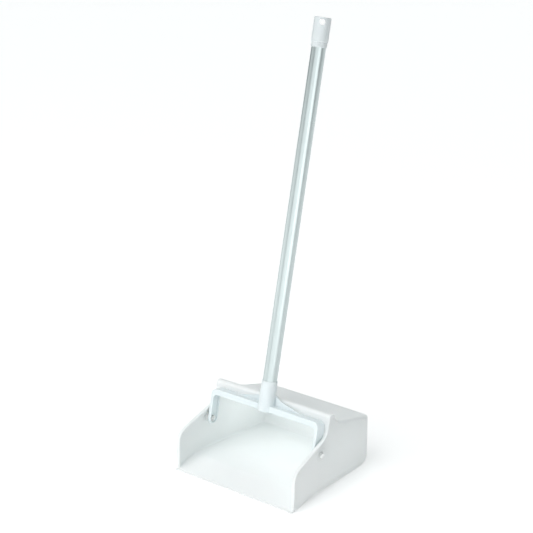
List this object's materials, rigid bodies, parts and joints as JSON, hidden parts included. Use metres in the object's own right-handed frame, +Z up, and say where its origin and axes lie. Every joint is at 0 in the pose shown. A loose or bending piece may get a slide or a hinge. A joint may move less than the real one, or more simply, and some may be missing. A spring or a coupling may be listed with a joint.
{
  "type": "upright dust pan",
  "caption": "Upright lobby dust pan: white hooded scoop, yoke pivoted between its side walls and a long aluminium handle with a hang-hole cap.",
  "frame": {"origin": "on the floor, in the middle of the whole object's footprint, with the handle leaning back on the hood", "axes": "+X to the right of someone facing the mouth, +Y from the lip towards the closed back, +Z up"},
  "size_m": [0.2994, 0.2986, 0.8952],
  "materials": {
    "pan_plastic": "satin white moulding",
    "yoke_plastic": "satin white moulding",
    "cap_plastic": "satin white moulding",
    "plug_plastic": "natural moulding",
    "spacer_nylon": "natural nylon",
    "tube_aluminium": "satin anodised",
    "screw_steel": "bright zinc"
  },
  "bodies": {
    "pan": {"pan_body": "pan_plastic", "pivot_screw_left": "screw_steel", "pivot_screw_right": "screw_steel", "pivot_spacer_left": "spacer_nylon", "pivot_spacer_right": "spacer_nylon", "pivot_washer_left": "screw_steel", "pivot_washer_right": "screw_steel", "pivot_nut_left": "spacer_nylon", "pivot_nut_right": "spacer_nylon"},
    "handle": {"handle_yoke": "yoke_plastic", "handle_tube": "tube_aluminium", "tube_plug": "plug_plastic", "fixing_screw": "screw_steel", "hang_cap": "cap_plastic"}
  },
  "joints": [
    {"name": "handle_swing", "type": "hinge", "parent": "pan", "child": "handle", "pos_m": [0, -0.05412, 0.0854], "axis": [1, 0, 0], "range_deg": [0, 107]}
  ]
}
